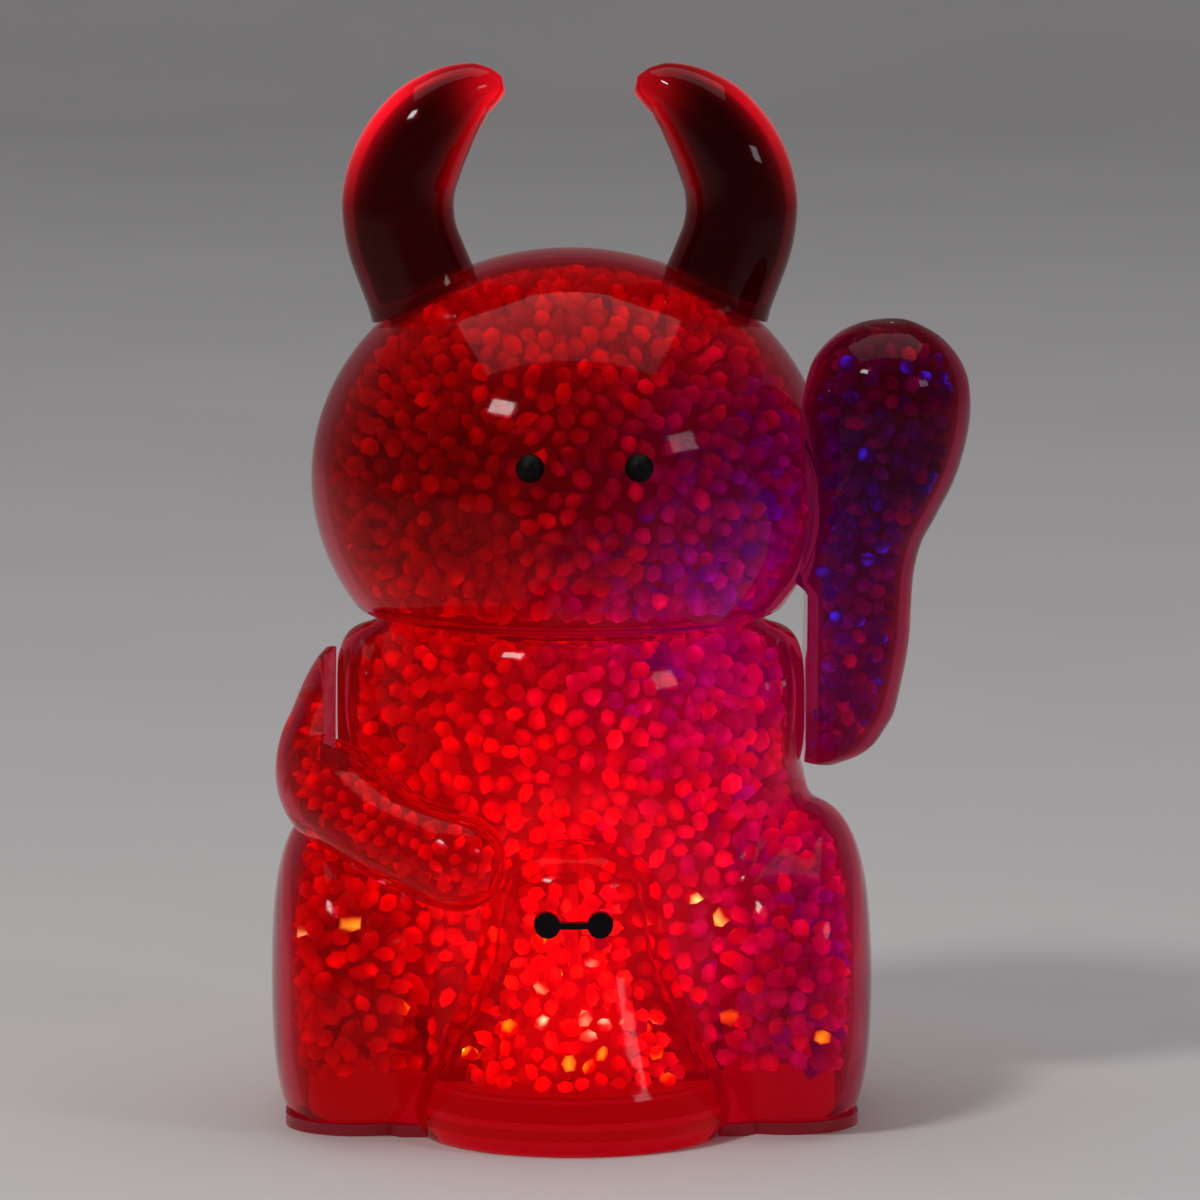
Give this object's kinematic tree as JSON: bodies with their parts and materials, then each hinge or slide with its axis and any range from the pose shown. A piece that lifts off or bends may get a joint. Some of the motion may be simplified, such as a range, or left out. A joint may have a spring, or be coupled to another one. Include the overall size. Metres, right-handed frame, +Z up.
{
  "type": "light-up ox figurine",
  "caption": "Clear hollow seated ox figurine with horns and a raised paw, filled with granules and lit from inside, holding a plain bell on its lap.",
  "frame": {"origin": "centre of the flat underside, on the floor", "axes": "+Z up through the head, the face looks along -Y, +X is the side of the raised arm (the viewer's right when facing it)"},
  "size_m": [0.1174, 0.1005, 0.1774],
  "materials": {
    "clear_body": "clear glossy injection-moulded plastic, lit red from inside",
    "clear_head": "clear glossy injection-moulded plastic, lit red from inside",
    "clear_horn": "clear glossy hollow plastic, empty inside",
    "clear_arm": "clear glossy injection-moulded plastic",
    "clear_bell": "clear glossy injection-moulded plastic",
    "granules_head": "clear plastic granules, lit red from below",
    "granules_body": "clear plastic granules, lit strongly red",
    "granules_raised_arm": "clear plastic granules, lit blue and red",
    "granules_lowered_arm": "clear plastic granules, lit red",
    "granules_bell": "clear plastic granules, lit red",
    "black_gloss": "glossy black",
    "base_red": "translucent dark red moulded plastic",
    "frosted": "frosted translucent plastic, glowing faintly red",
    "dome_frost": "frosted diffuser over the lamps",
    "board_green": "circuit board with solder mask",
    "lamp_red": "red lamp lens",
    "lamp_green": "green lamp lens",
    "lamp_blue": "blue lamp lens",
    "resistor_tan": "ceramic resistor body",
    "switch_grey": "moulded switch case",
    "knob_white": "moulded switch knob",
    "cell_steel": "plain cell jacket",
    "contact_steel": "nickel-plated contact",
    "screw_steel": "zinc-plated screw",
    "wire_red": "red insulated lead",
    "wire_black": "black insulated lead"
  },
  "bodies": {
    "body": {"body_shell": "clear_body", "lap_bell": "clear_bell", "bell_slot": "black_gloss", "bell_foot": "frosted", "body_beads": "granules_body", "bell_beads": "granules_bell", "base_plate": "base_red", "base_deck": "frosted", "light_dome": "dome_frost", "circuit_board": "board_green", "led_red": "lamp_red", "led_green": "lamp_green", "led_blue": "lamp_blue", "resistor": "resistor_tan", "switch_body": "switch_grey", "battery_1": "cell_steel", "battery_2": "cell_steel", "battery_3": "cell_steel", "contact_springs": "contact_steel", "contact_plates": "contact_steel", "base_screws": "screw_steel", "board_screws": "screw_steel", "wire_red": "wire_red", "wire_black": "wire_black"},
    "head": {"head_shell": "clear_head", "horn_left": "clear_horn", "horn_right": "clear_horn", "eye_left": "black_gloss", "eye_right": "black_gloss", "head_beads": "granules_head"},
    "raised_arm": {"raised_arm": "clear_arm", "raised_arm_beads": "granules_raised_arm"},
    "lowered_arm": {"lowered_arm": "clear_arm", "lowered_arm_beads": "granules_lowered_arm"},
    "battery_door": {"battery_door": "base_red"},
    "power_switch": {"switch_knob": "knob_white"}
  },
  "joints": [
    {"name": "head_turn", "type": "hinge", "parent": "body", "child": "head", "pos_m": [0, 0, 0.0843], "axis": [0, 0, 1], "range_deg": [-35, 35]},
    {"name": "raised_arm_swing", "type": "hinge", "parent": "body", "child": "raised_arm", "pos_m": [0.0395, -0.005, 0.0695], "axis": [1, 0, 0], "range_deg": [0, 50]},
    {"name": "lowered_arm_swing", "type": "hinge", "parent": "body", "child": "lowered_arm", "pos_m": [-0.0395, -0.004, 0.0695], "axis": [-1, 0, 0], "range_deg": [0, 35]},
    {"name": "battery_door_hinge", "type": "hinge", "parent": "body", "child": "battery_door", "pos_m": [0, -0.0055, 0.001], "axis": [-1, 0, 0], "range_deg": [0, 95]},
    {"name": "power_switch_slide", "type": "slide", "parent": "body", "child": "power_switch", "axis": [0, 1, 0], "range_m": [0, 0.003]}
  ]
}
